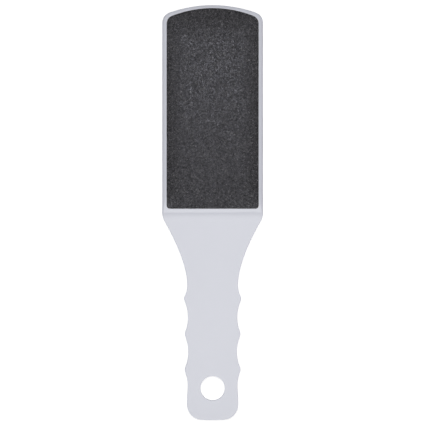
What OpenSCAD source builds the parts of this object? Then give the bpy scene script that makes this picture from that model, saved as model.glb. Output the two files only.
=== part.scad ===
// Two-sided foot file: a moulded paddle with a coated sheet on each face of its head.
// It lies flat on the back sheet, with its length along Y and the head towards +Y.
// Z = 0 is the table under the back sheet, and X = 0 is the line of symmetry.

/* [Overall] */
// Length from the top of the head to the end of the handle
overall_length = 255; // [240:1:285]
// Thickness of the handle
handle_thickness = 4.4; // [3.4:0.1:5.8]
// Thickness of the head along its middle, without the sheets
head_thickness = 6.4; // [6.2:0.1:9]
// Width of the oval rolled edge round the head, as seen from above
head_edge_width = 1.6; // [0.5:0.05:1.7]
// Height of the oval rolled edge round the head
head_edge_height = 1.4; // [0.4:0.05:1.5]
// Radius of the tighter edge along the handle
handle_edge_radius = 0.2; // [0.1:0.05:1.2]

/* [Head] */
// Width of the head
head_width = 61.9; // [52:0.5:72]
// Length of the head, down to the lip where the handle starts
head_length = 127.2; // [110:1:140]
// Radius of the wide arc over the top
top_arc_radius = 79; // [55:1:150]
// Radius of the two top corners
top_corner_radius = 6.6; // [4:0.2:10]
// How far each face falls towards the two long edges
side_fall = 1.6; // [0:0.05:1.75]
// Width of the band along each long edge that falls away
side_fall_width = 14; // [8:0.5:20]
// How far each face falls towards the top
top_fall = 1.6; // [0:0.05:1.75]
// Length of the zone under the top that falls away
top_fall_length = 24; // [15:1:50]
// Length above the lip over which the long edges come up level, and of the edge's taper at the lip
edge_rise_length = 14; // [6:1:30]
// Length of the hollow step from the lip down to the handle
step_length = 14; // [4:0.5:16]

/* [Shoulder and neck] */
// Radius of the shoulder under the head
shoulder_radius = 12.4; // [8:0.2:18]
// Angle in degrees that the shoulder turns inwards
shoulder_turn = 30; // [20:1:40]
// Narrowest width of the neck
neck_width = 31.15; // [27:0.25:36]
// Distance of the neck from the end of the handle
neck_from_end = 82.9; // [78:0.5:90]
// Radius of the neck on the side of the fingers
neck_radius = 15.2; // [12:0.2:24]

/* [Finger grooves] */
// Distance of the first groove from the end of the handle
first_groove_from_end = 63.1; // [61:0.25:66]
// Distance from one groove to the next
groove_pitch = 21.2; // [19:0.2:22.4]
// Width of the handle at the first groove
first_groove_width = 30.26; // [27:0.25:34]
// Width of the handle at the second groove
second_groove_width = 29.84; // [27:0.25:34]
// Width of the handle at the third groove, above the end lobe
third_groove_width = 30.48; // [27:0.25:34]
// Radius of the grooves
groove_radius = 24.8; // [18:0.2:30]
// Radius of the rounded ridges between the grooves
ridge_radius = 3.76; // [2:0.1:6]

/* [End of the handle] */
// How far the end lobe stands out past the third groove, on each side
lobe_swell = 0.5; // [0.3:0.05:1.2]
// Distance of the lobe's widest place from the end of the handle
lobe_from_end = 9.7; // [7:0.1:12]
// Radius of the two end corners
end_corner_radius = 9.3; // [5:0.2:12]
// Radius of the slight bow across the end
end_bow_radius = 115; // [50:1:300]
// Diameter of the hanging hole
hole_diameter = 15; // [8:0.5:18]
// Distance from the middle of the hole to the end of the handle
hole_from_end = 19.5; // [16:0.5:24]
// Width of the chamfer round both mouths of the hole
hole_chamfer = 0.1; // [0.1:0.1:1]

/* [Sheets] */
// Border between a sheet and the long edges of the head
side_border = 2.75; // [1.8:0.05:5]
// Border between a sheet and the middle of the top
top_border = 2.05; // [1.5:0.05:5]
// Width of the lip between a sheet and the step down to the handle
lip_width = 2.1; // [1:0.1:6]
// How much smaller the radius of the sheets' top arc is than that of the head
arc_tightening = 11; // [2:0.5:20]
// Radius of the two top corners of the sheets
sheet_top_corner = 5; // [2:0.1:8]
// Radius of the two bottom corners of the sheets
sheet_bottom_corner = 1.8; // [0.8:0.1:5]
// Gap all round between a sheet and the wall of its pocket
sheet_gap = 0.12; // [0.05:0.01:0.2]
// Depth of the two pockets that hold the sheets
pocket_depth = 0.6; // [0.4:0.05:0.8]
// Thickness of the glue films
glue_thickness = 0.15; // [0.1:0.01:0.2]
// Thickness of the paper backings
paper_thickness = 0.3; // [0.2:0.02:0.5]
// Thickness of the coarse grit coat on the front
coarse_grit_thickness = 0.5; // [0.3:0.05:0.9]
// Thickness of the fine grit coat on the back
fine_grit_thickness = 0.35; // [0.2:0.05:0.6]

/* [Hidden] */
half_head = head_width / 2;
// Height of the paddle's middle plane above the table.
back_sheet_thickness = glue_thickness + paper_thickness + fine_grit_thickness;
middle_height = head_thickness / 2 + max(0, back_sheet_thickness - pocket_depth);
// One overrun for every tool that cuts.
overrun = head_thickness / 6;
// Steps along the arcs, over the falling bands and round the rolled edge.
top_steps = 14;
corner_steps = 8;
shoulder_steps = 10;
sweep_steps = 16;
groove_steps = 7;
ridge_steps = 5;
lobe_steps = 4;
fall_steps = 5;
rise_steps = 5;
roll_steps = 3;
hole_steps = 96;

// Shape in plan. Points are [distance from the line of symmetry, distance from the top].
function polar(c, r, a) = [c[0] + r * cos(a), c[1] + r * sin(a)];
function bearing(c, p) = atan2(p[1] - c[1], p[0] - c[0]);
function turned(a) = a < 0 ? a + 360 : a;
function arc(c, r, a, b, steps, first) = [
    for (i = [first : steps]) polar(c, r, a + (b - a) * i / steps)
];
// Point that stands ra from a and rb from b, to the right of the way from a to b.
function meeting(a, ra, b, rb) =
    let (v = b - a, d = norm(v), along = (d * d + ra * ra - rb * rb) / (2 * d))
    let (across = sqrt(ra * ra - along * along), u = v / d)
    [a[0] + u[0] * along - u[1] * across, a[1] + u[1] * along + u[0] * across];
// Wide arc over the top and the corner below it, for the head and for the sheets.
function corner_middle(top, r_arc, r_corner, half_w) = [
    half_w - r_corner,
    top + r_arc - sqrt(pow(r_arc - r_corner, 2) - pow(half_w - r_corner, 2))
];
function domed_top(top, r_arc, r_corner, half_w, first) =
    let (m = [0, top + r_arc], c = corner_middle(top, r_arc, r_corner, half_w))
    let (a = bearing(m, c))
    concat(
        arc(m, r_arc, -90, a, top_steps, first),
        arc(c, r_corner, a, 0, corner_steps, 1)
    );

// Long edge of the head. Its stations follow the falling zone and the rise at the lip.
rise_from_top = head_length - edge_rise_length;
corner_end = corner_middle(0, top_arc_radius, top_corner_radius, half_head)[1];
long_edge = concat(
    [for (i = [1 : fall_steps])
        [half_head, corner_end + (top_fall_length - corner_end) * i / fall_steps]],
    [for (i = [0 : rise_steps])
        [half_head, rise_from_top + edge_rise_length * i / rise_steps]]
);

// Shoulder, then the sweep down to the neck. Each end of the sweep pulls by a share of its length.
sweep_start_share = 0.315;
sweep_end_share = 0.305;
shoulder_middle = [half_head - shoulder_radius, head_length];
shoulder_end = polar(shoulder_middle, shoulder_radius, shoulder_turn);
neck = [neck_width / 2, overall_length - neck_from_end];
sweep_length = neck[1] - shoulder_end[1];
sweep_a = shoulder_end
    + sweep_start_share * sweep_length * [-sin(shoulder_turn), cos(shoulder_turn)];
sweep_b = neck - [0, sweep_end_share * sweep_length];
function sweep_point(t) =
    pow(1 - t, 3) * shoulder_end + 3 * pow(1 - t, 2) * t * sweep_a
    + 3 * (1 - t) * t * t * sweep_b + pow(t, 3) * neck;

// Grooves are cut by circles beside the handle, and a ridge circle touches each two of them.
neck_middle = neck + [neck_radius, 0];
groove_half = [first_groove_width / 2, second_groove_width / 2, third_groove_width / 2];
groove_middles = [for (i = [0 : 2])
    [groove_half[i] + groove_radius, overall_length - first_groove_from_end + groove_pitch * i]];
ridges = [
    meeting(neck_middle, neck_radius + ridge_radius,
        groove_middles[0], groove_radius + ridge_radius),
    meeting(groove_middles[0], groove_radius + ridge_radius,
        groove_middles[1], groove_radius + ridge_radius),
    meeting(groove_middles[1], groove_radius + ridge_radius,
        groove_middles[2], groove_radius + ridge_radius)
];
function ridge_arc(i, above) = arc(
    ridges[i], ridge_radius,
    bearing(ridges[i], above), bearing(ridges[i], groove_middles[i]), ridge_steps, 1);
function groove_arc(i, below) = arc(
    groove_middles[i], groove_radius,
    turned(bearing(groove_middles[i], ridges[i])),
    turned(bearing(groove_middles[i], below)), groove_steps, 1);

// The last groove runs out into the flat curve of the end lobe.
lobe_down = overall_length - lobe_from_end - groove_middles[2][1];
lobe_angle = 2 * atan2(lobe_swell, lobe_down);
lobe_radius = lobe_down / sin(lobe_angle) - groove_radius;
lobe_middle = [groove_half[2] + lobe_swell - lobe_radius, overall_length - lobe_from_end];
bow_middle = [0, overall_length - end_bow_radius];
end_corner = meeting(
    lobe_middle, lobe_radius - end_corner_radius,
    bow_middle, end_bow_radius - end_corner_radius);
end_curve = concat(
    arc(lobe_middle, lobe_radius, bearing(lobe_middle, groove_middles[2]),
        bearing(lobe_middle, end_corner), lobe_steps, 1),
    arc(end_corner, end_corner_radius, bearing(lobe_middle, end_corner),
        bearing(bow_middle, end_corner), corner_steps, 1),
    arc(bow_middle, end_bow_radius, bearing(bow_middle, end_corner),
        90 - (90 - bearing(bow_middle, end_corner)) / lobe_steps, lobe_steps, 1)
);

// Right half of the outline, from beside the middle of the top to beside the middle of the end.
right_side = concat(
    domed_top(0, top_arc_radius, top_corner_radius, half_head, 1),
    long_edge,
    arc(shoulder_middle, shoulder_radius, 0, shoulder_turn, shoulder_steps, 1),
    [for (i = [1 : sweep_steps]) sweep_point(i / sweep_steps)],
    arc(neck_middle, neck_radius, 180, turned(bearing(neck_middle, ridges[0])), ridge_steps, 1),
    ridge_arc(0, neck_middle),
    groove_arc(0, ridges[1]),
    ridge_arc(1, groove_middles[0]),
    groove_arc(1, ridges[2]),
    ridge_arc(2, groove_middles[1]),
    groove_arc(2, lobe_middle),
    end_curve
);
count = len(right_side);
function mirrored(p) = [-p[0], p[1]];
function at(i) = i < 0 ? mirrored(right_side[-1 - i])
    : i >= count ? mirrored(right_side[2 * count - 1 - i]) : right_side[i];
function unit(v) = v / norm(v);
// Direction from a point of the outline into the paddle.
function inward(i) = let (t = unit(unit(at(i) - at(i - 1)) + unit(at(i + 1) - at(i)))) [-t[1], t[0]];
function inset(i, by) = right_side[i] + by * inward(i);

// Half of the paddle's thickness at a place in plan.
function held(t) = max(0, min(1, t));
function eased(t) = t * t * (3 - 2 * t);
function edge_share(from_top) = eased(held((head_length - from_top) / edge_rise_length));
// The fall to the long edges and the fall to the top run into each other as an oval at the corners.
function fall(x, from_top) = norm([
    side_fall * pow(held(1 - (half_head - abs(x)) / side_fall_width), 2) * edge_share(from_top),
    top_fall * pow(held(1 - from_top / top_fall_length), 2)
]);
function step(from_top) =
    (head_thickness - handle_thickness) / 2
    * (1 - pow(held(1 - (from_top - head_length) / step_length), 4));
function half_thickness(x, from_top) =
    head_thickness / 2 - (from_top < head_length ? fall(x, from_top) : step(from_top));
function placed(p, z) = [p[0], overall_length / 2 - p[1], z];

// Width and height of the edge beside a point of the outline. It tapers about the lip.
head_edge = [head_edge_width, head_edge_height];
handle_edge = [handle_edge_radius, handle_edge_radius];
function edge_size(i) =
    let (share = eased(held(1 / 2 + (right_side[i][1] - head_length) / edge_rise_length)))
    head_edge + share * (handle_edge - head_edge);
// Rings of the rolled edge: ring 0 stands on the outline, the last one borders the face.
function ring_inset(i, k) = edge_size(i)[0] * (1 - cos(90 * k / roll_steps));
function ring_drop(i, k) = edge_size(i)[1] * (1 - sin(90 * k / roll_steps));
function ring_point(i, k) =
    let (p = inset(i, ring_inset(i, k)))
    placed(p, half_thickness(p[0], p[1]) - ring_drop(i, k));
function flipped(p, x_sign, z_sign) = [p[0] * x_sign, p[1], p[2] * z_sign];

// Rows across the face. Those of the head have columns over the falling bands.
columns = 2 * fall_steps;
column_width_share = side_fall_width / half_head / fall_steps;
function column_share(j) =
    j < fall_steps ? -1 + column_width_share * (j + 1) : 1 - column_width_share * (columns - j);
function face_point(i, j) =
    let (p = inset(i, edge_size(i)[0]), x = p[0] * column_share(j))
    placed([x, p[1]], half_thickness(x, p[1]));
// Row after which the face is flat.
flat_row = len([for (p = right_side) if (p[1] < head_length + step_length) 1]);

// Points of the paddle: rings of the upper half, rings of the lower half, then the two faces.
ring_size = 2 * count;
rings = roll_steps + 1;
function ring_points(k, z_sign) = concat(
    [for (i = [0 : count - 1]) flipped(ring_point(i, k), 1, z_sign)],
    [for (i = [0 : count - 1]) flipped(ring_point(count - 1 - i, k), -1, z_sign)]
);
function face_points(z_sign) = [
    for (i = [1 : flat_row]) for (j = [0 : columns - 1]) flipped(face_point(i, j), 1, z_sign)
];
face_size = flat_row * columns;
paddle_points = concat(
    [for (k = [0 : rings - 1]) each ring_points(k, 1)],
    [for (k = [0 : rings - 1]) each ring_points(k, -1)],
    face_points(1),
    face_points(-1)
);
// Number of a point in a ring or in a row. Half 0 is the upper one.
function in_ring(half, k, i) = (half * rings + k) * ring_size + i % ring_size;
function in_row(half, i, j) =
    j < 0 ? in_ring(half, rings - 1, ring_size - 1 - i)
    : j >= columns ? in_ring(half, rings - 1, i)
    : 2 * rings * ring_size + half * face_size + (i - 1) * columns + j;
function two_triangles(a, b, c, d) = [[a, b, c], [a, c, d]];
function turned_faces(half, faces) = half == 0 ? faces : [for (f = faces) [f[2], f[1], f[0]]];
function band_faces(half, k) = [
    for (i = [0 : ring_size - 1]) each two_triangles(
        in_ring(half, k, i), in_ring(half, k, i + 1),
        in_ring(half, k + 1, i + 1), in_ring(half, k + 1, i))
];
// Fan from the short top edge to row 1, then the rows of the head.
function head_faces(half) = concat(
    [[in_row(half, 0, -1), in_row(half, 0, columns), in_row(half, 1, columns)]],
    [for (j = [-1 : columns - 1])
        [in_row(half, 0, -1), in_row(half, 1, j + 1), in_row(half, 1, j)]],
    [for (i = [1 : flat_row - 1]) for (j = [-1 : columns - 1]) each two_triangles(
        in_row(half, i, j), in_row(half, i, j + 1),
        in_row(half, i + 1, j + 1), in_row(half, i + 1, j))]
);
// Fan from the last head row, then plain strips down the handle.
function handle_faces(half) = concat(
    [for (j = [-1 : columns - 1])
        [in_row(half, flat_row, j), in_row(half, flat_row, j + 1), in_row(half, flat_row + 1, -1)]],
    [[in_row(half, flat_row, columns), in_row(half, flat_row + 1, columns),
        in_row(half, flat_row + 1, -1)]],
    [for (i = [flat_row + 1 : count - 2]) each two_triangles(
        in_row(half, i, -1), in_row(half, i, columns),
        in_row(half, i + 1, columns), in_row(half, i + 1, -1))]
);
wall_faces = [
    for (i = [0 : ring_size - 1]) each two_triangles(
        in_ring(1, 0, i), in_ring(1, 0, i + 1), in_ring(0, 0, i + 1), in_ring(0, 0, i))
];
paddle_faces = concat(
    wall_faces,
    [for (half = [0, 1]) for (k = [0 : roll_steps - 1]) each turned_faces(half, band_faces(half, k))],
    [for (half = [0, 1]) each turned_faces(half, concat(head_faces(half), handle_faces(half)))]
);

module paddle_blank() {
    polyhedron(points = paddle_points, faces = paddle_faces);
}

// Outline shared by a pocket and the sheet in it.
function sheet_side(grow) =
    let (half_w = half_head - side_border + grow, low = head_length - lip_width + grow)
    let (r = sheet_bottom_corner + grow)
    concat(
        domed_top(top_border - grow, top_arc_radius - arc_tightening + grow,
            sheet_top_corner + grow, half_w, 0),
        arc([half_w - r, low - r], r, 0, 90, corner_steps, 0)
    );
module sheet_outline(grow) {
    side = sheet_side(grow);
    last = len(side) - 1;
    flat = [for (p = side) [p[0], overall_length / 2 - p[1]]];
    polygon(concat(flat, [for (i = [0 : last - 1]) [-flat[last - i][0], flat[last - i][1]]]));
}

// Grid over the head for a layer that keeps its thickness while it follows the falling bands.
grid_x = concat(
    [for (i = [0 : fall_steps]) -half_head + side_fall_width * i / fall_steps],
    [for (i = [0 : fall_steps]) half_head - side_fall_width * (fall_steps - i) / fall_steps]
);
grid_from_top = concat(
    [for (i = [0 : fall_steps]) top_fall_length * i / fall_steps],
    [for (i = [0 : rise_steps]) rise_from_top + edge_rise_length * i / rise_steps]
);
grid_w = len(grid_x);
grid_h = len(grid_from_top);
grid_size = grid_w * grid_h;
function grid_points(above) = [
    for (y = grid_from_top) for (x = grid_x)
        placed([x, y], half_thickness(x, min(y, head_length)) + above)
];
function grid_faces(start) = [
    for (i = [0 : grid_h - 2]) for (j = [0 : grid_w - 2])
        each two_triangles(start + i * grid_w + j, start + i * grid_w + j + 1,
            start + (i + 1) * grid_w + j + 1, start + (i + 1) * grid_w + j)
];
// Border of the grid, clockwise as seen from above.
grid_border = concat(
    [for (j = [0 : grid_w - 2]) j],
    [for (i = [0 : grid_h - 2]) i * grid_w + grid_w - 1],
    [for (j = [0 : grid_w - 2]) grid_size - 1 - j],
    [for (i = [0 : grid_h - 2]) (grid_h - 1 - i) * grid_w]
);
border_faces = [
    for (i = [0 : len(grid_border) - 1])
        let (a = grid_border[i], b = grid_border[(i + 1) % len(grid_border)])
        each two_triangles(grid_size + a, grid_size + b, b, a)
];
module crowned_layer(low, high) {
    polyhedron(
        points = concat(grid_points(high), grid_points(low)),
        faces = concat(grid_faces(0), [for (f = grid_faces(grid_size)) [f[2], f[1], f[0]]],
            border_faces)
    );
}
// Layer of a sheet between two heights above the floor of its pocket.
module sheet_layer(low, high, grow) {
    intersection() {
        crowned_layer(low - pocket_depth, high - pocket_depth);
        linear_extrude(height = head_thickness + overrun) sheet_outline(grow);
    }
}
module on_front() {
    translate([0, 0, middle_height]) children();
}
module on_back() {
    translate([0, 0, middle_height]) mirror([0, 0, 1]) children();
}

module pocket() {
    sheet_layer(0, pocket_depth + overrun, sheet_gap);
}
module hole_mouth() {
    cone_height = hole_chamfer + overrun;
    translate([0, 0, handle_thickness / 2 - hole_chamfer])
        cylinder(h = cone_height, r1 = hole_diameter / 2,
            r2 = hole_diameter / 2 + cone_height, $fn = hole_steps);
}
module hanging_hole() {
    translate([0, hole_from_end - overall_length / 2, 0]) {
        cylinder(h = handle_thickness + overrun, d = hole_diameter, center = true,
            $fn = hole_steps);
        hole_mouth();
        mirror([0, 0, 1]) hole_mouth();
    }
}

// Paddle: one moulding with the head, the pockets, the neck, the grooves and the hole.
module paddle() {
    color([0.84, 0.85, 0.88])
        translate([0, 0, middle_height])
            difference() {
                paddle_blank();
                pocket();
                mirror([0, 0, 1]) pocket();
                hanging_hole();
            }
}
module front_glue_film() {
    color([0.93, 0.90, 0.78])
        on_front() sheet_layer(0, glue_thickness, 0);
}
module front_paper_backing() {
    color([0.62, 0.52, 0.40])
        on_front() sheet_layer(glue_thickness, glue_thickness + paper_thickness, 0);
}
module front_grit_coat() {
    color([0.27, 0.27, 0.29])
        on_front() sheet_layer(glue_thickness + paper_thickness,
            glue_thickness + paper_thickness + coarse_grit_thickness, 0);
}
module back_glue_film() {
    color([0.93, 0.90, 0.78])
        on_back() sheet_layer(0, glue_thickness, 0);
}
module back_paper_backing() {
    color([0.62, 0.52, 0.40])
        on_back() sheet_layer(glue_thickness, glue_thickness + paper_thickness, 0);
}
module back_grit_coat() {
    color([0.33, 0.33, 0.35])
        on_back() sheet_layer(glue_thickness + paper_thickness, back_sheet_thickness, 0);
}

paddle();
front_glue_film();
front_paper_backing();
front_grit_coat();
back_glue_film();
back_paper_backing();
back_grit_coat();
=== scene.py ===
import math
from types import SimpleNamespace

import bpy
import numpy as np
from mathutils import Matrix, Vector, noise
from mathutils.bvhtree import BVHTree


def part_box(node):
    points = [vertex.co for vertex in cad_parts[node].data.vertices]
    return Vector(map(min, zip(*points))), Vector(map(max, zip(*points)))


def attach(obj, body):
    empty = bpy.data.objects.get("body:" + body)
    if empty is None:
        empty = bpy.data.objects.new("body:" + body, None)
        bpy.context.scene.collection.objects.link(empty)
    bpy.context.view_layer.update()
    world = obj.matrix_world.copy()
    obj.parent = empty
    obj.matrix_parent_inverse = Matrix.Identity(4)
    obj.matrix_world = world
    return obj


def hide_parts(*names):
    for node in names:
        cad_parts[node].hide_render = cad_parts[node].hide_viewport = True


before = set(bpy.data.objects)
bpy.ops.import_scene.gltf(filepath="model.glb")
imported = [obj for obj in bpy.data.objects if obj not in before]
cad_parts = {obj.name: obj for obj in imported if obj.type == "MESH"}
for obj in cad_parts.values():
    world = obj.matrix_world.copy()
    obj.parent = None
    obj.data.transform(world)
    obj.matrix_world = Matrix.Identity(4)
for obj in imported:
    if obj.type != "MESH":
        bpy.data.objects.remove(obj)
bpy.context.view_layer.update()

# Lengths are in metres.
MM = 0.001

# Camera: straight above the file, with the head at the top of the picture.
PICTURE_WIDTH = 261.3 * MM
PICTURE_SHIFT = -0.08 * MM
SENSOR = 36
LENS = 200

# Light: the whole room's, and three soft boxes at one height above the file, as (name, place along
# the file, width, length, power).
ROOM_LIGHT = 0.2
LAMP_HEIGHT = 750 * MM
LAMPS = (
    ("handle_light", -165 * MM, 250 * MM, 200 * MM, 1.61),
    ("head_light", 148 * MM, 80 * MM, 100 * MM, 0.9),
    ("head_fill", 148 * MM, 520 * MM, 100 * MM, 1.4),
)

# Backdrop: a floor just under the file, and walls far behind it. Its glow is (radius, strength)
# beside the file, where its shadow falls, and farther out.
FLOOR_LEVEL = -0.1 * MM
BACKDROP_WIDTH = 6
WALL_HEIGHT = 1
BACKDROP_COLOUR = (0.82, 0.82, 0.82)
BACKDROP_ROUGHNESS = 0.9
NEAR_GLOW = (0.25, 0.6)
FAR_GLOW = (0.5, 1.0)

# Tones and roughnesses below are the stops of a ramp: (place on the pattern, value). A tone of the
# plastic, the resin or the mineral is a factor on its colour.

# Moulded plastic, with clouds of tone, patches of polish and the fine grain of the mould.
PLASTIC = (0.675, 0.687, 0.757)
PLASTIC_TONES = ((0.3, 0.995), (0.7, 1.005))
PLASTIC_CLOUDS = 18 * MM
PLASTIC_ROUGHNESS = ((0.3, 0.35), (0.7, 0.37))
POLISH_PATCHES = 5 * MM
MOULD_GRAIN = 0.45 * MM
MOULD_GRAIN_DEPTH = 0.012 * MM
SMOOTH_ANGLE = math.radians(35)
PARTING_RADIUS = 0.05 * MM

# Backing paper and adhesive film.
PAPER_TONES = ((0.3, (0.27, 0.18, 0.10)), (0.7, (0.40, 0.29, 0.18)))
PAPER_ROUGHNESS = 0.85
PAPER_FIBRE = 1.2 * MM
PAPER_FIBRE_DEPTH = 0.02 * MM
ADHESIVE_TONES = ((0.3, (0.78, 0.71, 0.48)), (0.7, (0.88, 0.83, 0.64)))
ADHESIVE_ROUGHNESS = 0.3
ADHESIVE_STREAK = 3 * MM

# Resin of the grit coats, wetter in some patches than in others, over grains that show in it.
RESIN_TONES = ((0.0, 0.4), (0.7, 1.0), (1.0, 1.7))
RESIN_GLOSS = 0.174
RESIN_TINT = (0.87, 0.88, 1.0)
RESIN_ROUGHNESS = ((0.0, 0.19), (1.0, 0.53))
RESIN_PATCH = 0.65 * MM
RESIN_RELIEF = ((0.0, 1.0), (0.9, 0.0))
RESIN_RELIEF_DEPTH = 0.012 * MM

# Mineral of the grains.
MINERAL_TONES = ((0.0, 0.2), (0.5, 0.85), (0.85, 1.7), (1.0, 3.2))
MINERAL_ROUGHNESS = ((0.0, 0.5), (0.8, 0.4), (1.0, 0.2))

# Sheets: the cells of their outer and inner meshes, how their edge is rounded, and the shares of
# their width and length at which the rays that find the CAD sheet still meet it.
OUTER_CELL = 0.5 * MM
INNER_CELL = 2.5 * MM
EDGE_ROUNDING = 0.3 * MM
EDGE_FALL = 0.08 * MM
RAY_REACH = (0.9995, 0.9998)

# Lumps of a sheet's outer face, in heights from 0 to 1: their usual level, how far levels and
# slopes differ, how steep the gaps between them are, and where in the noise they are taken from.
LUMP_LEVEL = 0.75
LEVEL_SPREAD = 0.3
SLOPE_SPREAD = 0.25
GAP_STEEPNESS = 4
LUMP_PLACE = (1000, 1000, 3.7)
LUMP_JUMP = 17.3
LUMP_SEED = 1

# Grains, in shares of their size: a block, and two chips as (sides, top radius, bottom radius,
# height). Each is turned and stretched between two limits, chipped at its corners, and pressed
# flatter.
GRAIN_BLOCK = 0.8
GRAIN_CHIPS = ((5, 0.3, 0.55, 0.7), (4, 0.12, 0.6, 0.9))
GRAIN_TURN = ((0, 0, 0), (math.tau, math.tau, math.tau))
GRAIN_STRETCH = ((0.55, 0.55, 0.5), (1.25, 1.25, 0.95))
GRAIN_CHIPPING = 0.12
GRAIN_HEIGHT = 0.6

# Seats of the grains: the tries in each square of their spacing, and how much of a face's normal
# points straight out where grains may sit on it.
SEAT_TRIES = 4
SEAT_FACING = 0.5

# The two grit coats. Each has its CAD node and the side of it that shows, its colour with soft
# patches, the width and height of its lumps, how far its resin is sunk below the tips of its
# grains, the width of the grains that the resin covers, and the size and spacing of the grains that
# stand out of it, with the width of the crystals that show on them.
COATS = (
    SimpleNamespace(
        name="coarse", slot="coarse_grit", node="front_grit_coat", side=1,
        colour=(0.0353, 0.0338, 0.0367), patch=0.9 * MM, patch_tones=((0.35, 0.4), (0.65, 1.55)),
        lump=0.9 * MM, swell=0.06 * MM, sunk=0.2 * MM, covered_grain=0.3 * MM,
        grain=0.68 * MM, spacing=0.55 * MM, crystal=0.5 * MM, seed=5),
    SimpleNamespace(
        name="fine", slot="fine_grit", node="back_grit_coat", side=-1,
        colour=(0.062, 0.061, 0.066), patch=0.6 * MM, patch_tones=((0.35, 0.6), (0.65, 1.35)),
        lump=0.6 * MM, swell=0.04 * MM, sunk=0.14 * MM, covered_grain=0.25 * MM,
        grain=0.42 * MM, spacing=0.54 * MM, crystal=0.3 * MM, seed=8),
)

# Distances within which points become one, and the decimals of a metre to which an outline is read.
CAD_MERGE = 0.001 * MM
PARTING_MERGE = 0.01 * MM
PLAN_DECIMALS = 6


def deselect():
    """Leaves nothing selected, so that the next operator acts on the new piece alone."""
    if bpy.context.object and bpy.context.object.mode != "OBJECT":
        bpy.ops.object.mode_set(mode="OBJECT")
    bpy.ops.object.select_all(action="DESELECT")


def take(piece):
    """Selects one piece and makes it the active one."""
    deselect()
    piece.select_set(True)
    bpy.context.view_layer.objects.active = piece


def apply_all(piece):
    """Applies every modifier of a piece, in order."""
    take(piece)
    for modifier in list(piece.modifiers):
        bpy.ops.object.modifier_apply(modifier=modifier.name)


def merged_copy(node, name):
    """Copies a CAD node into a piece of its own and joins its loose triangles."""
    take(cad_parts[node])
    bpy.ops.object.duplicate()
    piece = bpy.context.object
    piece.name = piece.data.name = name
    for key in list(piece.keys()):
        if key.startswith("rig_"):
            del piece[key]
    piece.parent = None
    piece.data.materials.clear()
    bpy.ops.object.mode_set(mode="EDIT")
    bpy.ops.mesh.select_all(action="SELECT")
    bpy.ops.mesh.customdata_custom_splitnormals_clear()
    bpy.ops.mesh.remove_doubles(threshold=CAD_MERGE)
    bpy.ops.object.mode_set(mode="OBJECT")
    return piece


# Nodes of materials.


def new_material(name):
    """A material, its node tree and its Principled shader."""
    material = bpy.data.materials.new(name)
    material.use_nodes = True
    return material, material.node_tree, material.node_tree.nodes["Principled BSDF"]


def add_noise(tree, size, detail=3, roughness=0.5):
    """Noise on the object's own coordinates. size is the width of its blobs."""
    place = tree.nodes.new("ShaderNodeTexCoord")
    pattern = tree.nodes.new("ShaderNodeTexNoise")
    pattern.inputs["Scale"].default_value = 1 / size
    pattern.inputs["Detail"].default_value = detail
    pattern.inputs["Roughness"].default_value = roughness
    tree.links.new(place.outputs["Object"], pattern.inputs["Vector"])
    return pattern.outputs["Fac"]


def add_cells(tree, size):
    """Cells on the object's own coordinates: the distance to the middle of each, and the channels
    of its random colour."""
    place = tree.nodes.new("ShaderNodeTexCoord")
    cells = tree.nodes.new("ShaderNodeTexVoronoi")
    cells.inputs["Scale"].default_value = 1 / size
    tree.links.new(place.outputs["Object"], cells.inputs["Vector"])
    split = tree.nodes.new("ShaderNodeSeparateColor")
    tree.links.new(cells.outputs["Color"], split.inputs["Color"])
    return cells.outputs["Distance"], split.outputs


def add_ramp(tree, source, stops):
    """Colour ramp. stops are (place, colour), and a single number is a grey."""
    ramp = tree.nodes.new("ShaderNodeValToRGB")
    band = ramp.color_ramp
    while len(band.elements) < len(stops):
        band.elements.new(0.5)
    for element, (place, colour) in zip(band.elements, stops):
        element.position = place
        grey = (colour,) * 3 if isinstance(colour, (int, float)) else tuple(colour)
        element.color = (*grey, 1)
    tree.links.new(source, ramp.inputs["Fac"])
    return ramp.outputs["Color"]


def add_bump(tree, height, depth):
    """Bump of a real depth."""
    bump = tree.nodes.new("ShaderNodeBump")
    bump.inputs["Strength"].default_value = 1
    bump.inputs["Distance"].default_value = depth
    tree.links.new(height, bump.inputs["Height"])
    return bump.outputs["Normal"]


def add_maths(tree, operation, first, second):
    """A sum on two values, each a socket or a number."""
    node = tree.nodes.new("ShaderNodeMath")
    node.operation = operation
    for socket, value in zip(node.inputs, (first, second)):
        if isinstance(value, (int, float)):
            socket.default_value = value
        else:
            tree.links.new(value, socket)
    return node.outputs[0]


def add_patches(tree, colour, size, tones):
    """Darkens and lightens a colour in soft patches. size is the width of the patches."""
    patches = add_ramp(tree, add_noise(tree, size, detail=1), tones)
    product = tree.nodes.new("ShaderNodeVectorMath")
    product.operation = "MULTIPLY"
    tree.links.new(colour, product.inputs[0])
    tree.links.new(patches, product.inputs[1])
    return product.outputs[0]


def in_tones(colour, tones):
    """Stops of a ramp with darker and lighter tones of one colour."""
    return [(place, tuple(min(1.0, part * factor) for part in colour)) for place, factor in tones]


# Paddle.


def moulded_plastic():
    """Cool white satin moulding with the faint grain of a spark-eroded mould."""
    material, tree, shader = new_material("moulded_plastic")
    clouds = add_noise(tree, PLASTIC_CLOUDS, detail=2)
    tone = add_ramp(tree, clouds, in_tones(PLASTIC, PLASTIC_TONES))
    tree.links.new(tone, shader.inputs["Base Color"])
    polish = add_ramp(tree, add_noise(tree, POLISH_PATCHES), PLASTIC_ROUGHNESS)
    tree.links.new(polish, shader.inputs["Roughness"])
    grain = add_noise(tree, MOULD_GRAIN, detail=2)
    tree.links.new(add_bump(tree, grain, MOULD_GRAIN_DEPTH), shader.inputs["Normal"])
    return material


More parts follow.
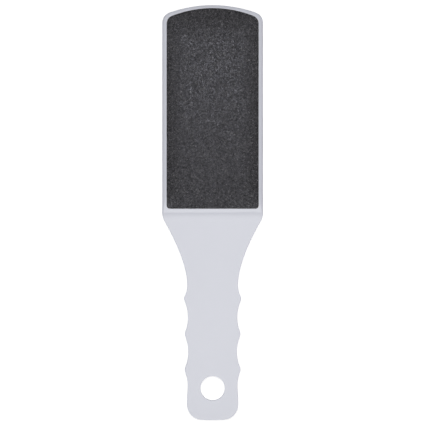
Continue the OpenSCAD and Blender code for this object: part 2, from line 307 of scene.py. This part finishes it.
def parting_line(paddle, height):
    """Fine raised line where the mould's halves met, all round the edge and in the hole."""
    take(paddle)
    bpy.ops.object.duplicate()
    line = bpy.context.object
    bpy.ops.object.mode_set(mode="EDIT")
    bpy.ops.mesh.select_all(action="SELECT")
    bpy.ops.mesh.bisect(
        plane_co=(0, 0, height), plane_no=(0, 0, 1), clear_inner=True, clear_outer=True)
    bpy.ops.mesh.select_all(action="SELECT")
    bpy.ops.mesh.remove_doubles(threshold=PARTING_MERGE)
    bpy.ops.object.mode_set(mode="OBJECT")
    bpy.ops.object.convert(target="CURVE")
    line.data.bevel_depth = PARTING_RADIUS
    line.data.bevel_resolution = 1
    bpy.ops.object.convert(target="MESH")
    return bpy.context.object


def make_paddle():
    """The one-piece moulding, with its edges shaded as rolled and its faces as flat."""
    low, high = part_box("paddle")
    paddle = merged_copy("paddle", "moulded_paddle")
    line = parting_line(paddle, (low.z + high.z) / 2)
    take(paddle)
    bpy.ops.object.shade_smooth_by_angle(angle=SMOOTH_ANGLE)
    weighted = paddle.modifiers.new("flat_faces", "WEIGHTED_NORMAL")
    weighted.keep_sharp = True
    apply_all(paddle)
    take(line)
    bpy.ops.object.shade_smooth()
    paddle.data.materials.append(moulded_plastic())
    line.data.materials.append(paddle.data.materials[0])
    line.select_set(True)
    paddle.select_set(True)
    bpy.context.view_layer.objects.active = paddle
    bpy.ops.object.join()
    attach(paddle, "root")
    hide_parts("paddle")


# Backing paper and adhesive film.


def backing_paper():
    """Brown latex paper with short fibres."""
    material, tree, shader = new_material("backing_paper")
    fibres = add_noise(tree, PAPER_FIBRE, detail=6, roughness=0.7)
    tree.links.new(add_ramp(tree, fibres, PAPER_TONES), shader.inputs["Base Color"])
    shader.inputs["Roughness"].default_value = PAPER_ROUGHNESS
    tree.links.new(add_bump(tree, fibres, PAPER_FIBRE_DEPTH), shader.inputs["Normal"])
    return material


def adhesive():
    """Yellowish pressure-sensitive film."""
    material, tree, shader = new_material("adhesive")
    streaks = add_noise(tree, ADHESIVE_STREAK)
    tree.links.new(add_ramp(tree, streaks, ADHESIVE_TONES), shader.inputs["Base Color"])
    shader.inputs["Roughness"].default_value = ADHESIVE_ROUGHNESS
    return material


def finish_layers():
    """Gives the CAD model's own layers of paper and film their finish."""
    paper, film = backing_paper(), adhesive()
    for face in ("front", "back"):
        for node, material, name in (
                ("paper_backing", paper, "backing_paper"), ("glue_film", film, "adhesive")):
            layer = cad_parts[face + "_" + node]
            layer.data.materials.clear()
            layer.data.materials.append(material)


# Resin sheets of the grit coats.


def size_coat(coat):
    """Dark resin between the grains. It is glossy and shows the finest grains that it covers."""
    material, tree, shader = new_material(coat.name + "_size_coat")
    distance, channels = add_cells(tree, coat.covered_grain)
    tone = add_ramp(tree, channels["Red"], in_tones(coat.colour, RESIN_TONES))
    tone = add_patches(tree, tone, coat.patch, coat.patch_tones)
    tree.links.new(tone, shader.inputs["Base Color"])
    shader.inputs["Specular IOR Level"].default_value = RESIN_GLOSS
    shader.inputs["Specular Tint"].default_value = (*RESIN_TINT, 1)
    wetness = add_cells(tree, RESIN_PATCH)[1]["Green"]
    tree.links.new(add_ramp(tree, wetness, RESIN_ROUGHNESS), shader.inputs["Roughness"])
    relief = add_ramp(tree, distance, RESIN_RELIEF)
    tree.links.new(add_bump(tree, relief, RESIN_RELIEF_DEPTH), shader.inputs["Normal"])
    return material


def edge_of(points, keep):
    """Left-to-right run of a convex sheet's upper (keep=max) or lower (keep=min) edge, in plan."""
    columns = {}
    for x, y in points:
        x = round(float(x), PLAN_DECIMALS)
        columns[x] = keep(float(y), columns.get(x, float(y)))
    sign = 1 if keep is max else -1
    edge = []
    for point in sorted(columns.items()):
        while len(edge) > 1:
            (ax, ay), (bx, by) = edge[-2:]
            if sign * ((bx - ax) * (point[1] - ay) - (by - ay) * (point[0] - ax)) < 0:
                break
            edge.pop()
        edge.append(point)
    return np.array(edge)


def sheet_grid(node, name, cell, side, move):
    """Grid laid over one face of a CAD sheet. side is 1 for the upper face and -1 for the lower
    one. move(x, y, rim) gives the height to add, where rim is the distance to the sheet's edge."""
    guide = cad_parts[node]
    plan = np.array([tuple(vertex.co)[:2] for vertex in guide.data.vertices])
    surface = BVHTree.FromObject(guide, bpy.context.evaluated_depsgraph_get())
    low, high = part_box(node)
    upper, lower = edge_of(plan, max), edge_of(plan, min)
    columns, rows = (max(2, round((high[i] - low[i]) / cell)) for i in (0, 1))
    deselect()
    bpy.ops.mesh.primitive_grid_add(x_subdivisions=columns, y_subdivisions=rows, size=2)
    grid = bpy.context.object
    grid.name = grid.data.name = name
    middle = (low + high) / 2
    for vertex in grid.data.vertices:
        x = vertex.co.x * high.x
        y_low = float(np.interp(x, lower[:, 0], lower[:, 1]))
        y_high = float(np.interp(x, upper[:, 0], upper[:, 1]))
        y = y_low + (vertex.co.y + 1) / 2 * (y_high - y_low)
        start = Vector((x * RAY_REACH[0], middle.y + (y - middle.y) * RAY_REACH[1], side))
        z = surface.ray_cast(start, Vector((0, 0, -side)))[0].z
        rim = min(high.x - abs(x), y - y_low, y_high - y)
        vertex.co = (x, y, z + move(x, y, rim))
    if side < 0:
        take(grid)
        bpy.ops.object.mode_set(mode="EDIT")
        bpy.ops.mesh.select_all(action="SELECT")
        bpy.ops.mesh.flip_normals()
        bpy.ops.object.mode_set(mode="OBJECT")
    return grid


def lumps(x, y, size):
    """Height from 0 to 1 of crowded angular grains, each with a slope and a level of its own."""
    place = Vector((x / size + LUMP_PLACE[0], y / size + LUMP_PLACE[1], LUMP_PLACE[2]))
    distances, middles = noise.voronoi(place)
    wander = noise.noise_vector(middles[0] * LUMP_JUMP)
    slope = SLOPE_SPREAD * (place - middles[0]).dot(wander)
    level = min(1, max(0, LUMP_LEVEL + LEVEL_SPREAD * wander.z + slope))
    return min(1, (distances[1] - distances[0]) * GAP_STEEPNESS) * level


def make_sheet(coat):
    """The resin of a coat: a closed sheet whose outer face swells softly over the grains under it,
    and lies below the tips of the grains, which reach the CAD sheet's face."""

    def swollen(x, y, rim):
        rounding = max(0, 1 - rim / EDGE_ROUNDING) ** 2 * EDGE_FALL
        height = coat.swell * (lumps(x, y, coat.lump) - LUMP_LEVEL)
        return coat.side * (height - coat.sunk - rounding)

    name = coat.slot + "_sheet"
    outer = sheet_grid(coat.node, name, OUTER_CELL, coat.side, swollen)
    inner = sheet_grid(coat.node, name + "_inner", INNER_CELL, -coat.side, lambda x, y, rim: 0)
    take(outer)
    inner.select_set(True)
    bpy.ops.object.join()
    bpy.ops.object.mode_set(mode="EDIT")
    bpy.ops.mesh.select_all(action="DESELECT")
    bpy.ops.mesh.select_mode(type="EDGE")
    bpy.ops.mesh.select_non_manifold()
    bpy.ops.mesh.bridge_edge_loops()
    bpy.ops.mesh.select_all(action="SELECT")
    bpy.ops.mesh.normals_make_consistent(inside=False)
    bpy.ops.mesh.select_mode(type="VERT")
    bpy.ops.object.mode_set(mode="OBJECT")
    bpy.ops.object.shade_smooth_by_angle(angle=SMOOTH_ANGLE)
    outer.data.materials.append(size_coat(coat))
    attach(outer, "root")
    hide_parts(coat.node)
    return outer


# Grains of the grit coats.


def mineral(coat):
    """Hard grains: each has a tone of its own, and a few are bright."""
    material, tree, shader = new_material(coat.name + "_mineral")
    channels = add_cells(tree, coat.crystal)[1]
    tone = add_ramp(tree, channels["Red"], in_tones(coat.colour, MINERAL_TONES))
    tone = add_patches(tree, tone, coat.patch, coat.patch_tones)
    tree.links.new(tone, shader.inputs["Base Color"])
    glint = add_ramp(tree, channels["Green"], MINERAL_ROUGHNESS)
    tree.links.new(glint, shader.inputs["Roughness"])
    return material


def add_seats(group, sheet, coat):
    """Points on the outer face of a sheet, each of which keeps its place as its seat."""
    add, link = group.nodes.new, group.links.new
    facing = add("ShaderNodeSeparateXYZ")
    link(add("GeometryNodeInputNormal").outputs["Normal"], facing.inputs[0])
    outwards = add_maths(group, "MULTIPLY", facing.outputs["Z"], coat.side)
    spread = add("GeometryNodeDistributePointsOnFaces")
    spread.distribute_method = "POISSON"
    spread.inputs["Distance Min"].default_value = coat.spacing
    spread.inputs["Density Max"].default_value = SEAT_TRIES / coat.spacing ** 2
    spread.inputs["Seed"].default_value = coat.seed
    link(sheet, spread.inputs["Mesh"])
    link(add_maths(group, "GREATER_THAN", outwards, SEAT_FACING), spread.inputs["Selection"])
    seat = add("GeometryNodeStoreNamedAttribute")
    seat.data_type = "FLOAT_VECTOR"
    seat.inputs["Name"].default_value = "seat"
    link(spread.outputs["Points"], seat.inputs["Geometry"])
    link(add("GeometryNodeInputPosition").outputs["Position"], seat.inputs["Value"])
    return seat.outputs["Geometry"]


def add_kinds(group, coat):
    """The kinds of grain to pick from: a block and the chips."""
    add, link = group.nodes.new, group.links.new
    block = add("GeometryNodeMeshCube")
    block.inputs["Size"].default_value = (GRAIN_BLOCK * coat.grain,) * 3
    kinds = add("GeometryNodeGeometryToInstance")
    link(block.outputs["Mesh"], kinds.inputs[0])
    for sides, top, bottom, height in GRAIN_CHIPS:
        chip = add("GeometryNodeMeshCone")
        chip.inputs["Vertices"].default_value = sides
        chip.inputs["Radius Top"].default_value = top * coat.grain
        chip.inputs["Radius Bottom"].default_value = bottom * coat.grain
        chip.inputs["Depth"].default_value = height * coat.grain
        centred = add("GeometryNodeTransform")
        centred.inputs["Translation"].default_value = (0, 0, -height * coat.grain / 2)
        link(chip.outputs["Mesh"], centred.inputs["Geometry"])
        link(centred.outputs["Geometry"], kinds.inputs[0])
    return kinds.outputs["Instances"]


def add_random(group, kind, least, most, seed):
    """A random value for each grain. kind is FLOAT_VECTOR or INT."""
    value = group.nodes.new("FunctionNodeRandomValue")
    value.data_type = kind
    value.inputs["Min"].default_value = least
    value.inputs["Max"].default_value = most
    value.inputs["Seed"].default_value = seed
    return value.outputs["Value"]


def grain_nodes(name, coat):
    """Geometry nodes that leave only angular grains, half sunk in the outer face of a sheet: one
    grain of a random kind on each seat, turned and stretched at random."""
    group = bpy.data.node_groups.new(name, "GeometryNodeTree")
    for in_out in ("INPUT", "OUTPUT"):
        group.interface.new_socket("Geometry", in_out=in_out, socket_type="NodeSocketGeometry")
    add, link = group.nodes.new, group.links.new
    start, end = add("NodeGroupInput"), add("NodeGroupOutput")
    place = add("GeometryNodeInstanceOnPoints")
    place.inputs["Pick Instance"].default_value = True
    link(add_seats(group, start.outputs[0], coat), place.inputs["Points"])
    link(add_kinds(group, coat), place.inputs["Instance"])
    for socket, value in (
            ("Instance Index", add_random(group, "INT", 0, len(GRAIN_CHIPS), 0)),
            ("Rotation", add_random(group, "FLOAT_VECTOR", *GRAIN_TURN, coat.seed + 1)),
            ("Scale", add_random(group, "FLOAT_VECTOR", *GRAIN_STRETCH, coat.seed + 1))):
        link(value, place.inputs[socket])
    real = add("GeometryNodeRealizeInstances")
    link(place.outputs["Instances"], real.inputs["Geometry"])
    link(real.outputs["Geometry"], end.inputs[0])
    return group


def vectors_of(collection, prop):
    """The vectors of a mesh's vertices or of one of its attributes, one row each."""
    rows = np.empty(len(collection) * 3, np.float32)
    collection.foreach_get(prop, rows)
    return rows.reshape(-1, 3)


def chip_and_trim(grains, coat):
    """Chips every grain's corners at random, presses the grains flatter on their seats, and cuts
    them off at the CAD sheet's edge, as the die that cut the sheet did."""
    mesh = grains.data
    seats = vectors_of(mesh.attributes["seat"].data, "vector")
    corners = vectors_of(mesh.vertices, "co")
    random = np.random.default_rng(coat.seed)
    chips = random.uniform(-GRAIN_CHIPPING, GRAIN_CHIPPING, corners.shape) * coat.grain
    corners = seats + (corners - seats + chips) * (1, 1, GRAIN_HEIGHT)
    plan = vectors_of(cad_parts[coat.node].data.vertices, "co")[:, :2]
    upper, lower = edge_of(plan, max), edge_of(plan, min)
    low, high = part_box(coat.node)
    corners[:, 0] = np.clip(corners[:, 0], low.x, high.x)
    y_low = np.interp(corners[:, 0], lower[:, 0], lower[:, 1])
    y_high = np.interp(corners[:, 0], upper[:, 0], upper[:, 1])
    corners[:, 1] = np.clip(corners[:, 1], y_low, y_high)
    mesh.vertices.foreach_set("co", corners.astype(np.float32).ravel())
    mesh.attributes.remove(mesh.attributes["seat"])
    mesh.update()


def make_grains(coat, sheet):
    """Single grains that stand out of a coat's resin and catch the light."""
    take(sheet)
    bpy.ops.object.duplicate()
    grains = bpy.context.object
    grains.name = grains.data.name = coat.name + "_grains"
    spread = grains.modifiers.new("grains", "NODES")
    spread.node_group = grain_nodes(grains.name, coat)
    apply_all(grains)
    chip_and_trim(grains, coat)
    grains.data.materials.clear()
    grains.data.materials.append(mineral(coat))
    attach(grains, "root")


# Backdrop, light and camera.


def backdrop_white():
    """Matt white that takes shadows, and that the camera, gloss and glass see as plain white."""
    material, tree, shader = new_material("white_floor")
    shader.inputs["Base Color"].default_value = (*BACKDROP_COLOUR, 1)
    shader.inputs["Roughness"].default_value = BACKDROP_ROUGHNESS
    shader.inputs["Specular IOR Level"].default_value = 0
    path = tree.nodes.new("ShaderNodeLightPath")
    seen = path.outputs["Is Camera Ray"]
    for ray in ("Is Glossy Ray", "Is Transmission Ray"):
        seen = add_maths(tree, "MAXIMUM", seen, path.outputs[ray])
    place = tree.nodes.new("ShaderNodeTexCoord")
    radius = tree.nodes.new("ShaderNodeVectorMath")
    radius.operation = "LENGTH"
    tree.links.new(place.outputs["Object"], radius.inputs[0])
    glow = tree.nodes.new("ShaderNodeMapRange")
    for end, (distance, strength) in (("Min", NEAR_GLOW), ("Max", FAR_GLOW)):
        glow.inputs["From " + end].default_value = distance
        glow.inputs["To " + end].default_value = strength
    tree.links.new(radius.outputs["Value"], glow.inputs["Value"])
    shader.inputs["Emission Color"].default_value = (1, 1, 1, 1)
    shown = add_maths(tree, "MULTIPLY", seen, glow.outputs["Result"])
    tree.links.new(shown, shader.inputs["Emission Strength"])
    return material


def make_backdrop():
    """Floor under the file, turned up at its edges into the walls that low views look at."""
    deselect()
    bpy.ops.mesh.primitive_plane_add(size=BACKDROP_WIDTH)
    floor = bpy.context.object
    floor.name = floor.data.name = "floor"
    for vertex in floor.data.vertices:
        vertex.co.z = FLOOR_LEVEL
    bpy.ops.object.mode_set(mode="EDIT")
    bpy.ops.mesh.select_all(action="SELECT")
    bpy.ops.mesh.region_to_loop()
    bpy.ops.mesh.extrude_edges_move(TRANSFORM_OT_translate={"value": (0, 0, WALL_HEIGHT)})
    bpy.ops.object.mode_set(mode="OBJECT")
    floor.data.materials.append(backdrop_white())


def make_world():
    """Even light from the whole room."""
    world = bpy.data.worlds.new("room")
    world.use_nodes = True
    back = world.node_tree.nodes["Background"]
    back.inputs["Color"].default_value = (1, 1, 1, 1)
    back.inputs["Strength"].default_value = ROOM_LIGHT
    bpy.context.scene.world = world


def make_lamp(name, along, width, length, power):
    """A soft box over the file's middle line that faces straight down."""
    lamp = bpy.data.lights.new(name, "AREA")
    lamp.shape = "RECTANGLE"
    lamp.size = width
    lamp.size_y = length
    lamp.energy = power
    holder = bpy.data.objects.new(name, lamp)
    holder.location = (0, along, LAMP_HEIGHT)
    holder.visible_camera = False
    bpy.context.scene.collection.objects.link(holder)


def make_camera():
    """Long lens straight above the middle of the file."""
    low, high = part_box("paddle")
    camera = bpy.data.cameras.new("camera")
    camera.lens = LENS
    camera.sensor_width = SENSOR
    holder = bpy.data.objects.new("camera", camera)
    distance = PICTURE_WIDTH * LENS / SENSOR
    holder.location = (PICTURE_SHIFT, 0, (low.z + high.z) / 2 + distance)
    bpy.context.scene.collection.objects.link(holder)
    bpy.context.scene.camera = holder


def main():
    """Lights and builds the file on its backdrop."""
    noise.seed_set(LUMP_SEED)
    make_camera()
    make_world()
    for lamp in LAMPS:
        make_lamp(*lamp)
    make_backdrop()
    make_paddle()
    for coat in COATS:
        make_grains(coat, make_sheet(coat))
    finish_layers()
    bpy.context.scene.view_settings.view_transform = "Standard"


main()
